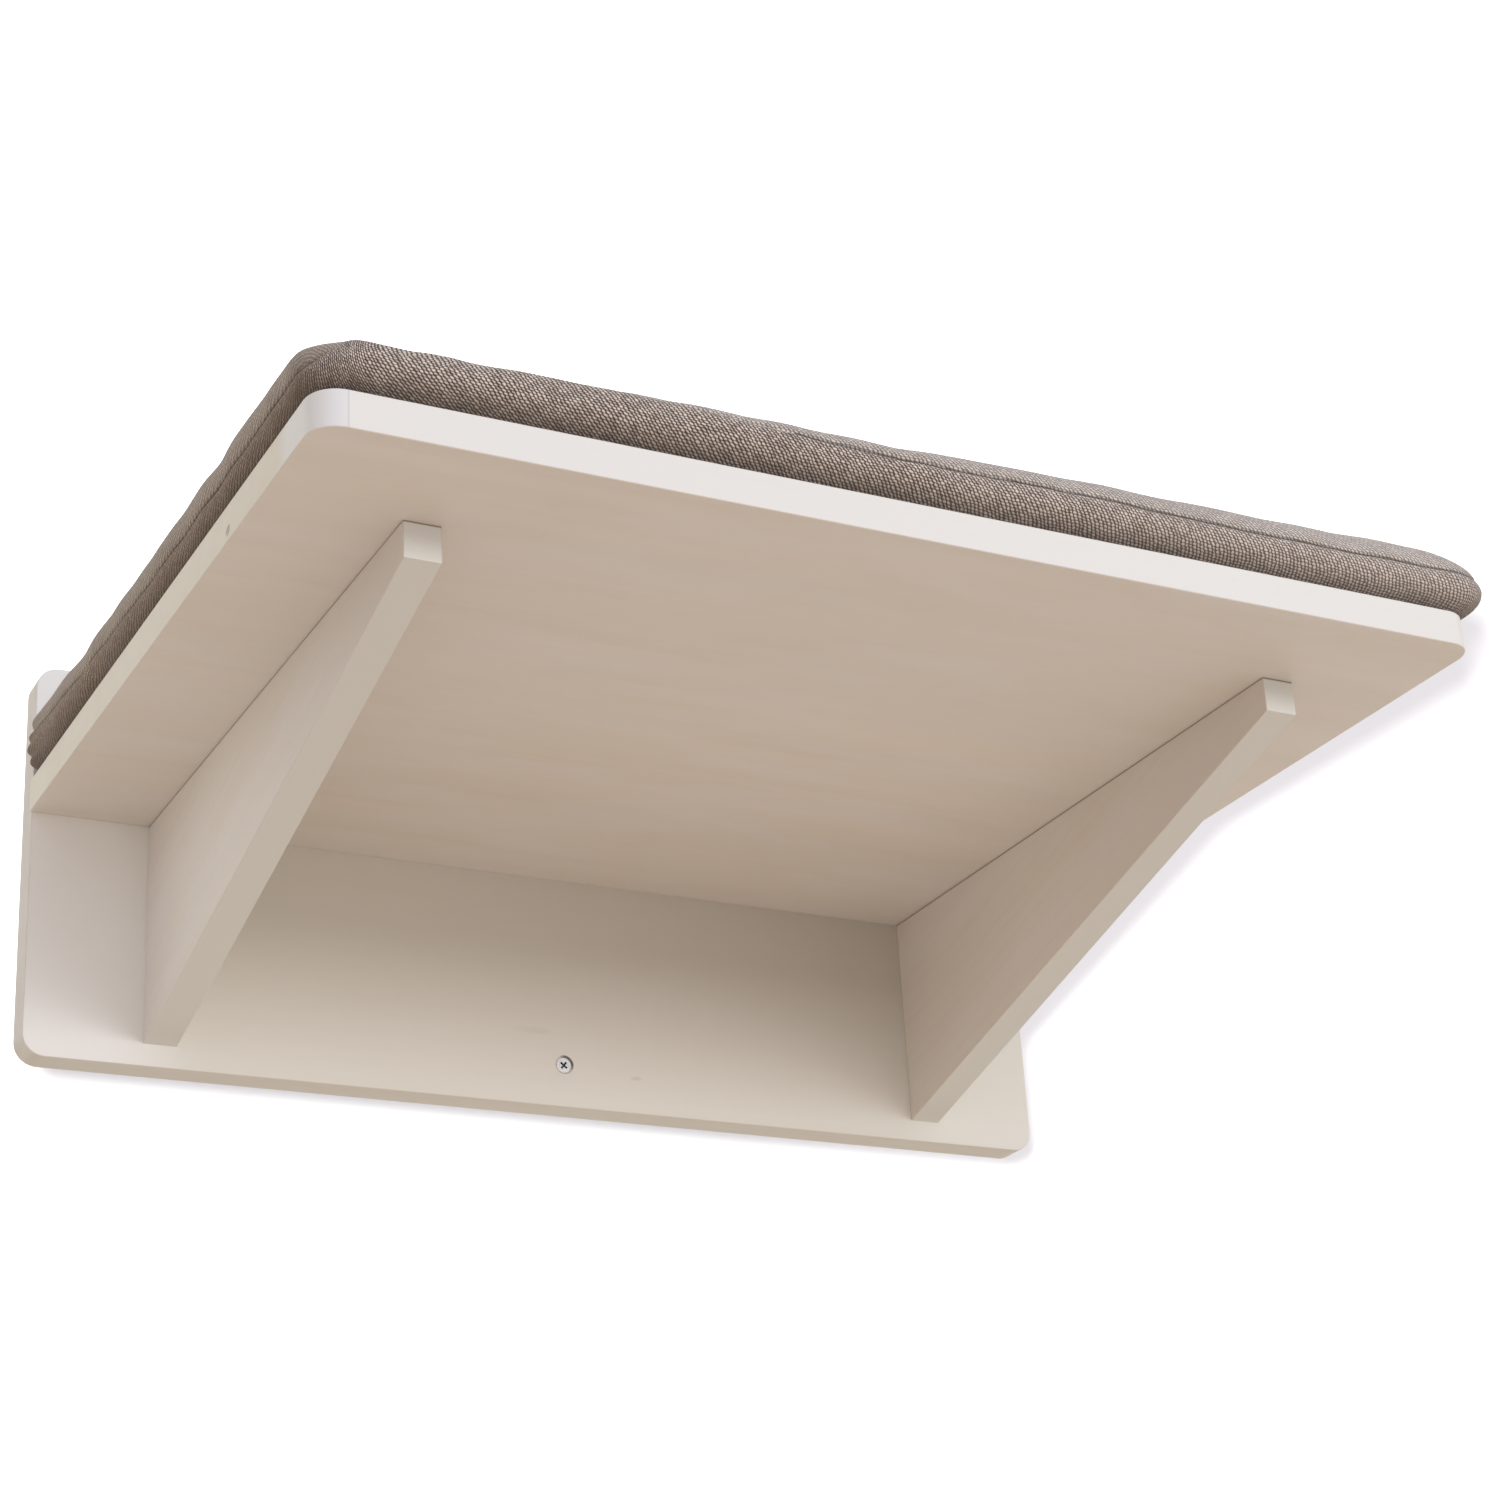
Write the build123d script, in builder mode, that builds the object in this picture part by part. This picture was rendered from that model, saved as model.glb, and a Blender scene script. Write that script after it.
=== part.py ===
"""Cat wall platform: a cushioned wooden board on two brackets, carried by a plate screwed to the wall.

The wall is the plane y = 0 and the platform reaches out to -Y. The origin is the middle of the back
plate's rear face, X runs to the right for someone who faces the wall, and Z runs up. Millimetres.
"""

from build123d import *
import os

os.makedirs("parts", exist_ok=True)

# Board that the cat lies on; all the wood is of one thickness
wood_thickness = 15
board_width = 500
board_depth = 362
board_corner_radius = 12

# Back plate against the wall
plate_side_step = 1
plate_height = 180
plate_corner_radius = 10
plate_upstand = 55

# Triangular brackets under the board
bracket_depth_share = 0.848
bracket_foot_rise = 10
bracket_nose_height = 15
bracket_side_inset = 53

# Sanded edges of the wood
edge_chamfer = 0.3

# Countersunk screws with a cross recess and a 90 degree head
screw_shank_radius = 1.75
screw_neck_radius = 1.5
screw_tip_radius = 0.5
screw_head_radius = 3.5
screw_point_length = 3
screw_sink = 0.8
screw_clearance = 0.1
screw_end_clearance = 5
recess_span = 4
recess_width = 0.9
recess_depth = 2
recess_turn_angle = 50
head_cone_angle = 90
wall_screw_length = 50
assembly_screw_length = 40
wall_thread_gap = 0.5

# Places of the wall screws
upper_screw_side_inset = 49
lower_screw_rise = 20

# Places of the assembly screws
board_screw_count = 4
board_screw_spacing_share = 0.28
bracket_screw_drop_shares = (0.2, 0.6)
bracket_screw_reach_shares = (0.15, 0.7)

# Dowels
dowel_radius = 3
dowel_length = 24
dowel_clearance = 0.1
dowel_end_clearance = 1
dowel_seat_depth = 9
board_dowel_spacing_share = 0.56
bracket_dowel_drop_share = 0.4
bracket_dowel_reach_share = 0.42

# Cushion of two sewn panels over a padded foam slab, lying a little to the right on the board
cushion_side_overhang = 5
cushion_front_overhang = 3
cushion_shift = 3
cushion_rear_gap = 1.5
cushion_seat_gap = 0.3
cushion_edge_height = 28.5
cushion_crown = 7.5
cushion_seam_height = 15
cushion_upper_rounding = 9.5
cushion_lower_rounding = 9
cushion_corner_radius = 16
cushion_side_draw = 3
crown_insets = (14, 60, 120)
crown_rise_shares = (0, 0.7, 1)
seam_chamfer = 1
fabric_thickness = 2
filling_clearance = 0.4
filling_chamfer = 5

# Hook strips on the board and loop strips under the cushion
strip_width = 20
strip_length_share = 0.6
strip_corner_radius = 3
strip_spacing_share = 0.6
hook_thickness = 1
loop_thickness = 1
strip_gap = 0.1
pocket_clearance = 0.6

# Heights and reaches that follow from the sizes above
plate_width = board_width - 2 * plate_side_step
board_top = plate_height / 2 - plate_upstand
board_underside = board_top - wood_thickness
board_middle_height = board_underside + wood_thickness / 2
board_middle_y = -wood_thickness - board_depth / 2
bracket_depth = board_depth * bracket_depth_share
bracket_height = board_underside + plate_height / 2 - bracket_foot_rise
bracket_middle_x = board_width / 2 - bracket_side_inset - wood_thickness / 2
board_screw_spacing = board_width * board_screw_spacing_share
board_dowel_spacing = board_width * board_dowel_spacing_share
bracket_screw_drops = [bracket_height * share for share in bracket_screw_drop_shares]
bracket_screw_reaches = [wood_thickness + bracket_depth * share for share in bracket_screw_reach_shares]
bracket_dowel_drop = bracket_height * bracket_dowel_drop_share
bracket_dowel_reach = wood_thickness + bracket_depth * bracket_dowel_reach_share
dowel_hole_radius = dowel_radius + dowel_clearance
dowel_far_depth = dowel_length - dowel_seat_depth + dowel_end_clearance
screw_hole_radius = screw_shank_radius + screw_clearance
countersink_radius = screw_head_radius + screw_sink + screw_clearance
pilot_depth = assembly_screw_length - wood_thickness + screw_end_clearance

cushion_width = board_width + 2 * cushion_side_overhang
cushion_depth = board_depth - cushion_rear_gap + cushion_front_overhang
cushion_middle_y = -wood_thickness - cushion_rear_gap - cushion_depth / 2
cushion_base = board_top + cushion_seat_gap
cushion_edge_top = cushion_base + cushion_edge_height
cushion_seam = cushion_base + cushion_seam_height
strip_spacing = board_width * strip_spacing_share
strip_length = board_depth * strip_length_share
loop_top = board_top + hook_thickness + strip_gap + loop_thickness

# Working planes: the plate's rear and front faces, seen from outside, and the board's two faces
rear_face = Plane(origin=(0, 0, 0), x_dir=(-1, 0, 0), z_dir=(0, 1, 0))
front_face = Plane.XZ.offset(wood_thickness)
top_face = Plane.XY.offset(board_top)
under_face = Plane(origin=(0, 0, board_underside), x_dir=(1, 0, 0), z_dir=(0, 0, -1))

# Places of the fasteners, as pairs on those planes
upper_wall_screw_x = plate_width / 2 - upper_screw_side_inset
upper_wall_screw_z = plate_height / 2 - plate_upstand / 2
lower_wall_screw_z = lower_screw_rise - plate_height / 2
wall_screw_places = (
    (-upper_wall_screw_x, upper_wall_screw_z),
    (upper_wall_screw_x, upper_wall_screw_z),
    (0, lower_wall_screw_z),
)


def plate_screw_places(middle_x):
    """Places, on the plate's rear face, of the screws into the bracket at middle_x."""
    return [(-middle_x, board_underside - drop) for drop in bracket_screw_drops]


def board_screw_places(middle_x):
    """Places, on the board's top, of the screws into the bracket at middle_x."""
    return [(middle_x, -reach) for reach in bracket_screw_reaches]


# Back plate, with its countersinks in front for the wall and behind for the assembly
with BuildPart() as back_plate:
    with BuildSketch(Plane.XZ):
        RectangleRounded(plate_width, plate_height, plate_corner_radius)
    extrude(amount=wood_thickness)
    chamfer(back_plate.faces().filter_by(Axis.Y).edges(), edge_chamfer)
    with Locations(front_face):
        with Locations(*wall_screw_places):
            CounterSinkHole(screw_hole_radius, countersink_radius, counter_sink_angle=head_cone_angle)
    with Locations(rear_face):
        with Locations((0, board_middle_height)):
            with GridLocations(board_screw_spacing, 0, board_screw_count, 1):
                CounterSinkHole(screw_hole_radius, countersink_radius, counter_sink_angle=head_cone_angle)
        with Locations(*plate_screw_places(bracket_middle_x), *plate_screw_places(-bracket_middle_x)):
            CounterSinkHole(screw_hole_radius, countersink_radius, counter_sink_angle=head_cone_angle)
    with Locations(front_face):
        with Locations((0, board_middle_height)):
            with GridLocations(board_dowel_spacing, 0, 2, 1):
                Hole(dowel_hole_radius, dowel_seat_depth + dowel_end_clearance)
        with Locations((0, board_underside - bracket_dowel_drop)):
            with GridLocations(2 * bracket_middle_x, 0, 2, 1):
                Hole(dowel_hole_radius, dowel_seat_depth + dowel_end_clearance)

# Board, with countersinks above for the screws into the brackets and pilots in its rear edge
with BuildPart() as platform_board:
    with BuildSketch(Plane((0, board_middle_y, board_underside))):
        Rectangle(board_width, board_depth)
    extrude(amount=wood_thickness)
    fillet(platform_board.edges().filter_by(Axis.Z).group_by(Axis.Y)[0], board_corner_radius)
    chamfer(platform_board.faces().filter_by(Axis.Z).edges(), edge_chamfer)
    with Locations(top_face):
        with Locations(*board_screw_places(bracket_middle_x), *board_screw_places(-bracket_middle_x)):
            CounterSinkHole(screw_hole_radius, countersink_radius, counter_sink_angle=head_cone_angle)
    with Locations(under_face):
        with Locations((-bracket_middle_x, bracket_dowel_reach), (bracket_middle_x, bracket_dowel_reach)):
            Hole(dowel_hole_radius, dowel_seat_depth + dowel_end_clearance)
    with Locations(rear_face.offset(-wood_thickness)):
        with Locations((0, board_middle_height)):
            with GridLocations(board_screw_spacing, 0, board_screw_count, 1):
                Hole(screw_hole_radius, pilot_depth)
            with GridLocations(board_dowel_spacing, 0, 2, 1):
                Hole(dowel_hole_radius, dowel_far_depth)


def bracket(middle_x):
    """Triangular bracket whose thickness is centred on middle_x, with its pilots and dowel holes."""
    with BuildPart() as gusset:
        with BuildSketch(Plane.YZ.offset(middle_x - wood_thickness / 2)):
            with BuildLine():
                Polyline(
                    (-wood_thickness, board_underside),
                    (-wood_thickness - bracket_depth, board_underside),
                    (-wood_thickness - bracket_depth, board_underside - bracket_nose_height),
                    (-wood_thickness, board_underside - bracket_height),
                    close=True,
                )
            make_face()
        extrude(amount=wood_thickness)
        chamfer(gusset.faces().filter_by(Axis.X).edges(), edge_chamfer)
        with Locations(Plane.XY.offset(board_underside)):
            with Locations(*board_screw_places(middle_x)):
                Hole(screw_hole_radius, pilot_depth)
            with Locations((middle_x, -bracket_dowel_reach)):
                Hole(dowel_hole_radius, dowel_far_depth)
        with Locations(rear_face.offset(-wood_thickness)):
            with Locations(*plate_screw_places(middle_x)):
                Hole(screw_hole_radius, pilot_depth)
            with Locations((-middle_x, board_underside - bracket_dowel_drop)):
                Hole(dowel_hole_radius, dowel_far_depth)
    return gusset.part


bracket_left = bracket(-bracket_middle_x)
bracket_right = bracket(bracket_middle_x)


def wood_screw(length, neck_length):
    """Screw that points down from its head's flat top at z = 0, thinner over its neck."""
    with BuildPart() as screw:
        with BuildSketch(Plane.XZ):
            with BuildLine():
                Polyline(
                    (0, 0),
                    (screw_head_radius, 0),
                    (screw_neck_radius, screw_neck_radius - screw_head_radius),
                    (screw_neck_radius, -neck_length),
                    (screw_shank_radius, -neck_length),
                    (screw_shank_radius, screw_point_length - length),
                    (screw_tip_radius, -length),
                    (0, -length),
                    close=True,
                )
            make_face()
        revolve(axis=Axis.Z)
        with BuildSketch(Plane.XY):
            Rectangle(recess_span, recess_width, rotation=recess_turn_angle)
            Rectangle(recess_width, recess_span, rotation=recess_turn_angle)
        extrude(amount=-recess_depth, mode=Mode.SUBTRACT)
    return screw.part


def plain_screw(length):
    """Screw for a hidden joint, down from its head's flat top at z = 0, with neither point nor recess."""
    with BuildPart() as screw:
        with BuildSketch(Plane.XZ):
            with BuildLine():
                Polyline(
                    (0, 0),
                    (screw_head_radius, 0),
                    (screw_shank_radius, screw_shank_radius - screw_head_radius),
                    (screw_shank_radius, -length),
                    (0, -length),
                    close=True,
                )
            make_face()
        revolve(axis=Axis.Z)
    return screw.part


wall_screw = wood_screw(wall_screw_length, wood_thickness - screw_sink + wall_thread_gap)
assembly_screw = plain_screw(assembly_screw_length)

# Wall screws, their heads just under the plate's front face
with BuildPart() as wall_screw_upper_left:
    with Locations(front_face.offset(-screw_sink)):
        with Locations(wall_screw_places[0]):
            add(wall_screw)

with BuildPart() as wall_screw_upper_right:
    with Locations(front_face.offset(-screw_sink)):
        with Locations(wall_screw_places[1]):
            add(wall_screw)

with BuildPart() as wall_screw_lower:
    with Locations(front_face.offset(-screw_sink)):
        with Locations(wall_screw_places[2]):
            add(wall_screw)

# Screws from behind through the plate, into the board's rear edge and the brackets
with BuildPart() as plate_to_board_screws:
    with Locations(rear_face.offset(-screw_sink)):
        with Locations((0, board_middle_height)):
            with GridLocations(board_screw_spacing, 0, board_screw_count, 1):
                add(assembly_screw)

with BuildPart() as plate_to_bracket_screws_left:
    with Locations(rear_face.offset(-screw_sink)):
        with Locations(*plate_screw_places(-bracket_middle_x)):
            add(assembly_screw)

with BuildPart() as plate_to_bracket_screws_right:
    with Locations(rear_face.offset(-screw_sink)):
        with Locations(*plate_screw_places(bracket_middle_x)):
            add(assembly_screw)

# Screws from above through the board, into the brackets
with BuildPart() as board_to_bracket_screws_left:
    with Locations(top_face.offset(-screw_sink)):
        with Locations(*board_screw_places(-bracket_middle_x)):
            add(assembly_screw)

with BuildPart() as board_to_bracket_screws_right:
    with Locations(top_face.offset(-screw_sink)):
        with Locations(*board_screw_places(bracket_middle_x)):
            add(assembly_screw)

# Dowel that points down from its far end at z = 0
with BuildPart() as dowel:
    with BuildSketch(Plane.XY):
        Circle(dowel_radius)
    extrude(amount=-dowel_length)

# Dowels, seated in the plate or the board and reaching into the piece beyond it
with BuildPart() as plate_to_board_dowels:
    with Locations(rear_face.offset(dowel_seat_depth - wood_thickness)):
        with Locations((0, board_middle_height)):
            with GridLocations(board_dowel_spacing, 0, 2, 1):
                add(dowel.part)


def bracket_dowels(middle_x):
    """Two dowels of the bracket at middle_x: one into the board above, one into the plate behind."""
    with BuildPart() as pair:
        with Locations(Plane.XY.offset(board_underside + dowel_seat_depth)):
            with Locations((middle_x, -bracket_dowel_reach)):
                add(dowel.part)
        with Locations(rear_face.offset(dowel_seat_depth - wood_thickness)):
            with Locations((-middle_x, board_underside - bracket_dowel_drop)):
                add(dowel.part)
    return pair.part


bracket_dowels_left = bracket_dowels(-bracket_middle_x)
bracket_dowels_right = bracket_dowels(bracket_middle_x)


def cushion_outline(skin):
    """Outline that lies skin inside the cushion's: its sides draw in between the corners."""
    half_width = cushion_width / 2 - skin
    half_depth = cushion_depth / 2 - skin
    with BuildSketch(Plane((cushion_shift, cushion_middle_y, cushion_base + skin))) as outline:
        with BuildLine():
            front_draw = (0, cushion_side_draw - half_depth)
            front = ThreePointArc((-half_width, -half_depth), front_draw, (half_width, -half_depth))
            right_draw = (half_width - cushion_side_draw, 0)
            right = ThreePointArc(front @ 1, right_draw, (half_width, half_depth))
            rear_draw = (0, half_depth - cushion_side_draw)
            rear = ThreePointArc(right @ 1, rear_draw, (-half_width, half_depth))
            left_draw = (cushion_side_draw - half_width, 0)
            ThreePointArc(rear @ 1, left_draw, front @ 0)
        make_face()
        fillet(outline.vertices(), cushion_corner_radius - skin)
    return outline.sketch


# Outer form: a slab with soft edges, and a crown that swells over it
with BuildPart() as cushion_outside:
    add(cushion_outline(0))
    extrude(amount=cushion_edge_height)
    fillet(cushion_outside.faces().sort_by(Axis.Z)[-1].edges(), cushion_upper_rounding)
    fillet(cushion_outside.faces().sort_by(Axis.Z)[0].edges(), cushion_lower_rounding)
    for inset, share in zip(crown_insets, crown_rise_shares):
        with BuildSketch(Plane((cushion_shift, cushion_middle_y, cushion_edge_top + cushion_crown * share))):
            Rectangle(cushion_width - 2 * inset, cushion_depth - 2 * inset)
    loft()


def foam_block(skin):
    """Slab with cut-off edges that lies skin inside the cushion's outer form, under its crown."""
    with BuildPart() as block:
        add(cushion_outline(skin))
        extrude(amount=cushion_edge_height - 2 * skin)
        chamfer(block.faces().filter_by(Axis.Z).edges(), filling_chamfer)
    return block.part


def strip_block(base, height, growth):
    """Two upright blocks with the outline of the fastening strips, grown all round."""
    with BuildPart() as block:
        with BuildSketch(Plane((0, cushion_middle_y, base))):
            with GridLocations(strip_spacing, 0, 2, 1):
                RectangleRounded(
                    strip_width + 2 * growth,
                    strip_length + 2 * growth,
                    strip_corner_radius + growth,
                )
        extrude(amount=height)
    return block.part


# The cover is two panels that meet at the seam, where each turns in a little
cushion_inside = foam_block(fabric_thickness)
seam_plane = Plane.XY.offset(cushion_seam)

with BuildPart() as cushion_upper_panel:
    add(cushion_outside.part)
    split(bisect_by=seam_plane, keep=Keep.TOP)
    chamfer(cushion_upper_panel.faces().sort_by(Axis.Z)[0].edges(), seam_chamfer)
    add(cushion_inside, mode=Mode.SUBTRACT)

# The lower panel is pushed up into a shallow pocket over each pair of strips
pocket_height = loop_top - cushion_base
with BuildPart() as cushion_lower_panel:
    add(cushion_outside.part)
    split(bisect_by=seam_plane, keep=Keep.BOTTOM)
    chamfer(cushion_lower_panel.faces().sort_by(Axis.Z)[-1].edges(), seam_chamfer)
    add(cushion_inside, mode=Mode.SUBTRACT)
    add(strip_block(cushion_base, pocket_height + fabric_thickness, pocket_clearance + fabric_thickness))
    add(strip_block(cushion_base, pocket_height, pocket_clearance), mode=Mode.SUBTRACT)

# Foam slab with its padding, a little smaller than the space inside the cover
filling_skin = fabric_thickness + filling_clearance
with BuildPart() as cushion_filling:
    add(foam_block(filling_skin))
    add(
        strip_block(cushion_base, pocket_height + filling_skin, pocket_clearance + filling_skin),
        mode=Mode.SUBTRACT,
    )

# Fastening strips: hooks on the board's top, loops on the pockets' ceilings
with BuildPart() as hook_strips:
    add(strip_block(board_top, hook_thickness, 0))

with BuildPart() as loop_strips:
    add(strip_block(loop_top - loop_thickness, loop_thickness, 0))

pieces = {
    "back_plate": back_plate.part,
    "platform_board": platform_board.part,
    "bracket_left": bracket_left,
    "bracket_right": bracket_right,
    "wall_screw_upper_left": wall_screw_upper_left.part,
    "wall_screw_upper_right": wall_screw_upper_right.part,
    "wall_screw_lower": wall_screw_lower.part,
    "plate_to_board_screws": plate_to_board_screws.part,
    "plate_to_bracket_screws_left": plate_to_bracket_screws_left.part,
    "plate_to_bracket_screws_right": plate_to_bracket_screws_right.part,
    "board_to_bracket_screws_left": board_to_bracket_screws_left.part,
    "board_to_bracket_screws_right": board_to_bracket_screws_right.part,
    "plate_to_board_dowels": plate_to_board_dowels.part,
    "bracket_dowels_left": bracket_dowels_left,
    "bracket_dowels_right": bracket_dowels_right,
    "hook_strips": hook_strips.part,
    "loop_strips": loop_strips.part,
    "cushion_upper_panel": cushion_upper_panel.part,
    "cushion_lower_panel": cushion_lower_panel.part,
    "cushion_filling": cushion_filling.part,
}

for name, piece in pieces.items():
    piece.label = name
    export_step(piece, f"parts/{name}.step")
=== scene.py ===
"""Looks of the cat wall platform: whitewashed wood, zinc screws and a sewn cushion."""
import math

import bpy
import numpy as np
from mathutils import Matrix, Vector


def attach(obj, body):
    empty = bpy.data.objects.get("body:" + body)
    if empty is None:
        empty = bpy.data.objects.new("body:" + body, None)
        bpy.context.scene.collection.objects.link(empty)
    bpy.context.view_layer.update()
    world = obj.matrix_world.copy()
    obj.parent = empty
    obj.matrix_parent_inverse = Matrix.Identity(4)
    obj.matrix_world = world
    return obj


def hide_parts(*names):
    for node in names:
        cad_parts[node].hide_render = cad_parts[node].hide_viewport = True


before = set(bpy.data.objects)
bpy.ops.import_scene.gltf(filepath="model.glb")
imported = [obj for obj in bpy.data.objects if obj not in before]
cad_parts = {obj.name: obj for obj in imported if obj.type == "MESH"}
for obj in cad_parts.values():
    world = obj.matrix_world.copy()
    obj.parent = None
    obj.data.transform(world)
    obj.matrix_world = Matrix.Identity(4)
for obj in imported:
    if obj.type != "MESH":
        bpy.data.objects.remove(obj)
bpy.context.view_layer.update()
MM = 0.001

# ---------------------------------------------------------------- node helper


class Net:
    """Short calls for building one node tree."""

    def __init__(self, tree):
        self.tree = tree
        tree.nodes.clear()

    def node(self, kind, **settings):
        made = self.tree.nodes.new(kind)
        for key, value in settings.items():
            setattr(made, key, value)
        return made

    def put(self, socket, value):
        """Link an output to the socket, or set a constant on it."""
        if isinstance(value, bpy.types.NodeSocket):
            self.tree.links.new(value, socket)
        elif isinstance(value, tuple) and len(value) == 3 and socket.type == "RGBA":
            socket.default_value = (*value, 1)
        else:
            socket.default_value = value

    def call(self, kind, *values, **settings):
        """First output of a new node whose inputs take the values in their order."""
        made = self.node(kind, **settings)
        for socket, value in zip(made.inputs, values):
            self.put(socket, value)
        return made.outputs[0]

    def math(self, operation, *values):
        return self.call("ShaderNodeMath", *values, operation=operation)

    def times(self, first, *others):
        for other in others:
            first = self.math("MULTIPLY", first, other)
        return first

    def off(self, value, centre):
        """How far a value lies from a centre."""
        return self.math("ABSOLUTE", self.math("SUBTRACT", value, centre))

    def vector(self, operation, *values):
        return self.call("ShaderNodeVectorMath", *values, operation=operation)

    def scaled(self, vector, factors):
        """A vector times three factors, or times one."""
        if not isinstance(factors, tuple):
            factors = (factors, factors, factors)
        return self.vector("MULTIPLY", vector, factors)

    def length(self, vector):
        made = self.node("ShaderNodeVectorMath", operation="LENGTH")
        self.put(made.inputs[0], vector)
        return made.outputs["Value"]

    def apart(self, vector):
        made = self.node("ShaderNodeSeparateXYZ")
        self.put(made.inputs[0], vector)
        return made.outputs

    def together(self, x, y, z):
        return self.call("ShaderNodeCombineXYZ", x, y, z)

    def place(self):
        """Place in the object's own frame, in metres."""
        return self.node("ShaderNodeTexCoord").outputs["Object"]

    def noise(self, vector, detail=3.0, roughness=0.5):
        made = self.node("ShaderNodeTexNoise")
        self.put(made.inputs["Vector"], vector)
        made.inputs["Scale"].default_value = 1.0
        made.inputs["Detail"].default_value = detail
        made.inputs["Roughness"].default_value = roughness
        return made.outputs["Fac"]

    def random(self, vector):
        made = self.node("ShaderNodeTexWhiteNoise", noise_dimensions="3D")
        self.put(made.inputs["Vector"], vector)
        return made.outputs["Value"]

    def span(self, value, low, high, to_low=0.0, to_high=1.0, smooth=False):
        """A value's place between low and high, carried over to another range."""
        settings = {"clamp": True, "interpolation_type": "SMOOTHSTEP" if smooth else "LINEAR"}
        return self.call("ShaderNodeMapRange", value, low, high, to_low, to_high, **settings)

    def mix(self, factor, first, second):
        made = self.node("ShaderNodeMix", data_type="RGBA", clamp_factor=True)
        for k, value in ((0, factor), (6, first), (7, second)):
            self.put(made.inputs[k], value)
        return made.outputs[2]

    def bump(self, height, distance, strength=1.0):
        made = self.node("ShaderNodeBump")
        made.inputs["Strength"].default_value = strength
        made.inputs["Distance"].default_value = distance
        self.put(made.inputs["Height"], height)
        return made.outputs[0]

    def shown_white(self):
        """1 for the rays that show the background: straight, mirrored or through something."""
        path = self.node("ShaderNodeLightPath").outputs
        seen = self.math("MAXIMUM", path["Is Camera Ray"], path["Is Glossy Ray"])
        return self.math("MAXIMUM", seen, path["Is Transmission Ray"])

    def choose(self, factor, first, second):
        """The first shader, or the second where the factor is 1."""
        return self.call("ShaderNodeMixShader", factor, first, second)

    def finish(self, shader, kind="ShaderNodeOutputMaterial"):
        self.put(self.node(kind).inputs["Surface"], shader)


def material(name):
    made = bpy.data.materials.new(name)
    made.use_nodes = True
    return made, Net(made.node_tree)


def surface(net, color, roughness, normal, metallic=0.0, specular=0.5, sheen=0.0):
    """Principled shader on the net's output."""
    shader = net.node("ShaderNodeBsdfPrincipled")
    net.put(shader.inputs["Base Color"], color)
    net.put(shader.inputs["Roughness"], roughness)
    net.put(shader.inputs["Normal"], normal)
    shader.inputs["Metallic"].default_value = metallic
    shader.inputs["Specular IOR Level"].default_value = specular
    shader.inputs["Sheen Weight"].default_value = sheen
    shader.inputs["Sheen Roughness"].default_value = 0.6
    net.finish(shader.outputs[0])


# ---------------------------------------------------------------- wood

# The board's levels, the straight front's left end and half the width of a sharp change
BOARD_UNDERSIDE = 0.020
BOARD_TOP = 0.035
FRONT_BEND = -0.238
HAIR = 0.0002
# Axes of the wall screws: one low in the middle, two high and to the sides
LOW_SCREW = -0.07
HIGH_SCREWS = 0.0625
SIDE_SCREWS = 0.2
# Lean of the brackets' grain, as rise per length
LEAN = 0.27
WASH = (0.86, 0.855, 0.845)
KNOT, KNOT_HOLE = (0.30, 0.27, 0.25), (0.15, 0.11, 0.08)
# Knots: place, length and height in mm, strength, and whether it is a hole
PLATE_KNOTS = (
    ((-16.7, -15, -55.0), 16, 2.6, 0.1, False),
    ((35.9, -15, -73.3), 4, 1.3, 0.2, False),
)
BOARD_KNOTS = (((-250, -284.3, 24.2), 3.2, 3.2, 1.0, True),)


def plate_tones(net, tone, place, normal, facing):
    """Painted shade and light on the plate: shade between the brackets and light at the far left,
    both under the board, light over the board, shade on faces that face down, and the shadow in
    the lower countersink.
    """
    x, y, z = net.apart(place)
    under = net.times(facing, net.span(z, BOARD_UNDERSIDE + HAIR, BOARD_UNDERSIDE - HAIR))
    # Painted shade under the board between the brackets, deepest towards the upper right
    between = net.times(net.span(x, -0.2, 0.15, 0.05, 0.5), net.span(x, 0.202, 0.19))
    between = net.times(between, net.span(z, -0.085, -0.01, 0.1, 1.0))
    tone = net.mix(net.times(under, between), tone, (0.36, 0.30, 0.26))
    # Painted light at the far left under the board
    painted_light_far_left = net.span(x, -0.17, -0.22, smooth=True)
    tone = net.mix(net.times(under, painted_light_far_left), tone, (0.95, 0.95, 0.92))
    # Painted light on the plate's front over the board
    over = net.times(facing, net.span(z, BOARD_TOP - HAIR, BOARD_TOP + HAIR, 0.0, 0.8))
    tone = net.mix(over, tone, (0.93, 0.93, 0.91))
    # Painted shade, darker and warmer, on faces that face down
    tone = net.mix(net.span(normal[2], -0.6, -0.9, 0.0, 0.4), tone, (0.46, 0.43, 0.34))
    above = net.math("SUBTRACT", z, LOW_SCREW)
    radius = net.length(net.together(x, above, 0.0))
    not_zero = net.math("MAXIMUM", radius, 0.0001)
    upper_right = net.math("DIVIDE", net.math("ADD", x, above), not_zero)
    # Painted shadow in the countersink round the low screw, at its upper right
    ring = net.times(net.span(radius, 0.0046, 0.0044), net.span(radius, 0.0034, 0.0038))
    crescent = net.times(ring, net.span(upper_right, 0.3, 1.1, 0.15, 0.9))
    return net.mix(crescent, tone, (0.10, 0.09, 0.085))


def board_tones(net, tone, place, normal, facing):
    """Painted cool shade on the upright faces of the board's front left corner, and the fine
    upright line where the corner starts.
    """
    x, y, z = net.apart(place)
    # Painted cool shade where the front turns round the left corner
    corner = net.span(x, FRONT_BEND + HAIR, FRONT_BEND - HAIR)
    corner = net.times(corner, net.span(y, -0.338, -0.348))
    upright = net.span(net.math("ABSOLUTE", normal[2]), 0.5, 0.3)
    tone = net.mix(net.times(corner, upright, 0.6), tone, (0.80, 0.815, 0.85))
    line = net.span(net.off(x, FRONT_BEND), 0.0004, 0.0001)
    return net.mix(net.times(line, facing, 0.35), tone, (0.45, 0.43, 0.42))


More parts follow.
